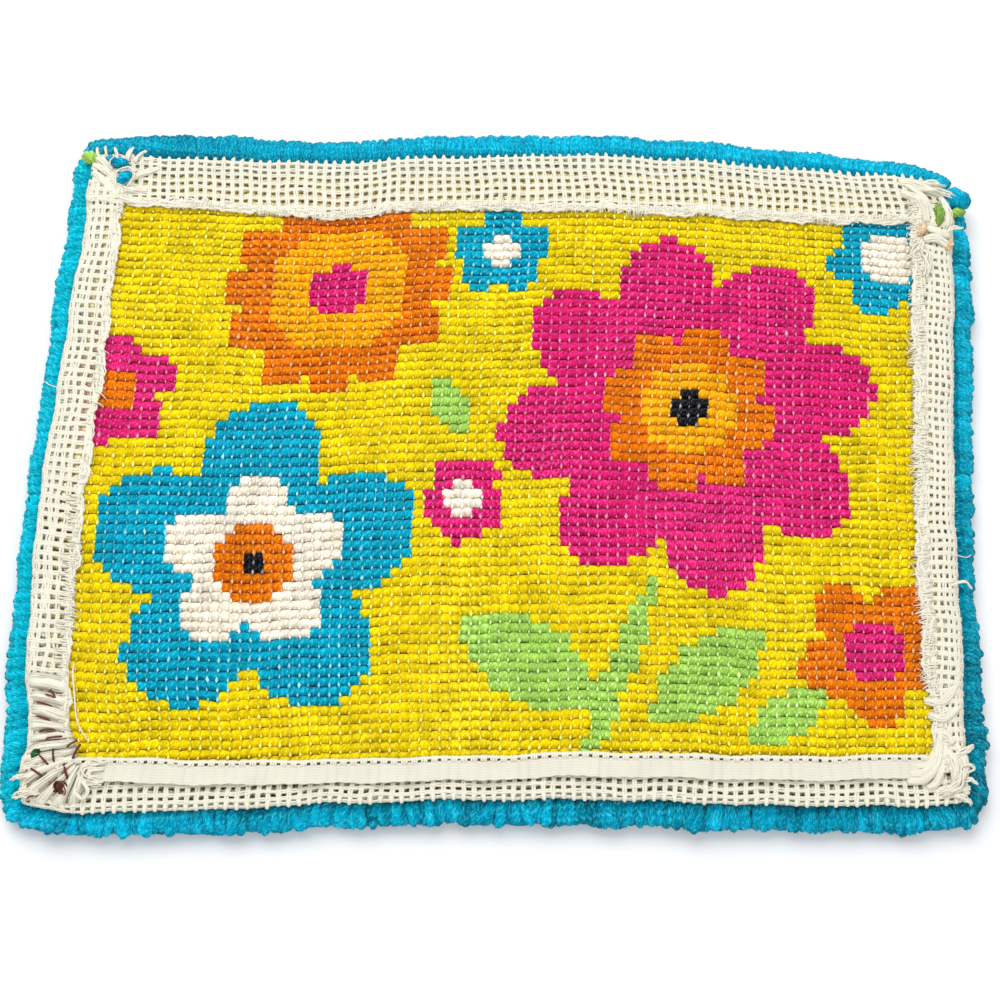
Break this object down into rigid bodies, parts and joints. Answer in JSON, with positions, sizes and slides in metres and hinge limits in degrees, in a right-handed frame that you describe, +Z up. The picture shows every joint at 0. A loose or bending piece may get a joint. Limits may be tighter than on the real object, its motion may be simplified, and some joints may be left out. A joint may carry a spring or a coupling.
{
  "type": "latch hook wall hanging",
  "caption": "Rectangular latch hook hanging laid pile down: open mesh canvas hemmed onto its back, rows of yarn knots between the hems, and a turquoise pile edge all round.",
  "frame": {"origin": "on the surface it lies on, under the middle of its outline", "axes": "+X along the long edges, +Y towards the far edge with the wide cut hem, +Z up out of the back of the canvas"},
  "size_m": [0.6768, 0.5288, 0.0291],
  "materials": {
    "rug_canvas": "sized cotton mesh, matt",
    "design_yarn": "acrylic rug yarn, knotted, soft and matt",
    "border_yarn": "acrylic rug yarn, cut pile, soft and matt"
  },
  "bodies": {
    "root": {"canvas": "rug_canvas", "knot_backs": "design_yarn", "pile_field": "design_yarn", "pile_border": "border_yarn"}
  },
  "joints": []
}
